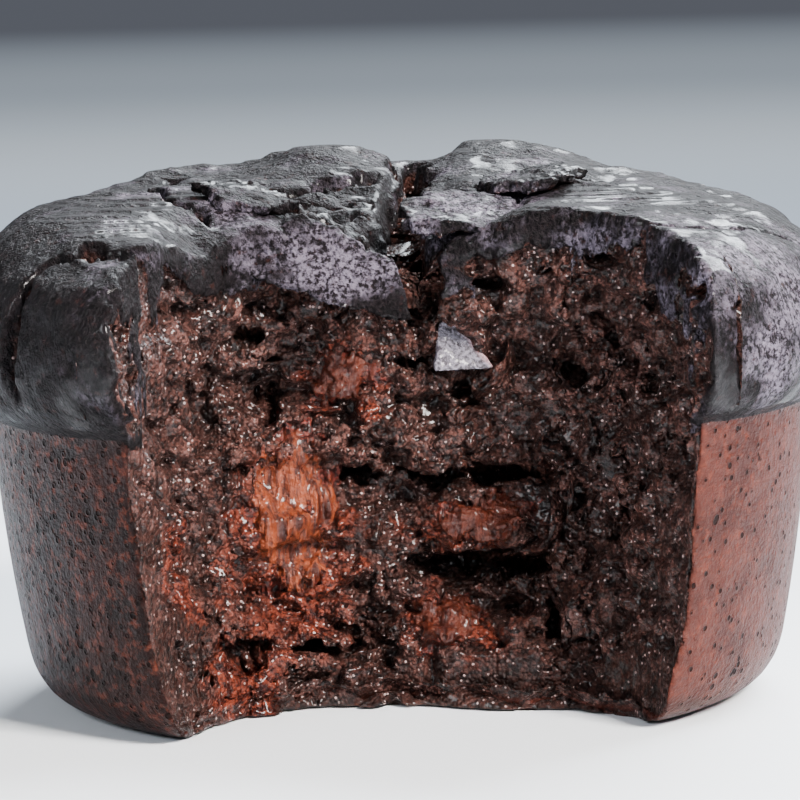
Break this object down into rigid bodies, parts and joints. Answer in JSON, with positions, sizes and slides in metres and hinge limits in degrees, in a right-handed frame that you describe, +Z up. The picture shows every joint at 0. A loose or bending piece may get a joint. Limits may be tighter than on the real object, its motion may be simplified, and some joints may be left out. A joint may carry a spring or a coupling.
{
  "type": "muffin",
  "caption": "Chocolate muffin from a round tin: tapered side, cracked crown that overhangs it, and a large bite out of the front with melted chocolate in the crumb.",
  "frame": {"origin": "centre of the round base, on the surface that the muffin rests on", "axes": "+Z up, -Y out of the bite, +X to the right of someone who looks into the bite"},
  "size_m": [0.0766, 0.07, 0.0472],
  "materials": {
    "cake": "moist dark brown crumb, nearly black glossy crust, pitted brown side",
    "melted_chocolate": "wet, glossy red-brown",
    "crust": "thin baked crust, satin grey-black"
  },
  "bodies": {
    "root": {"muffin": "cake", "melted_chocolate_streak": "melted_chocolate", "melted_chocolate_top_pocket": "melted_chocolate", "melted_chocolate_shelf": "melted_chocolate", "melted_chocolate_low_pocket": "melted_chocolate", "crust_flake": "crust"}
  },
  "joints": []
}
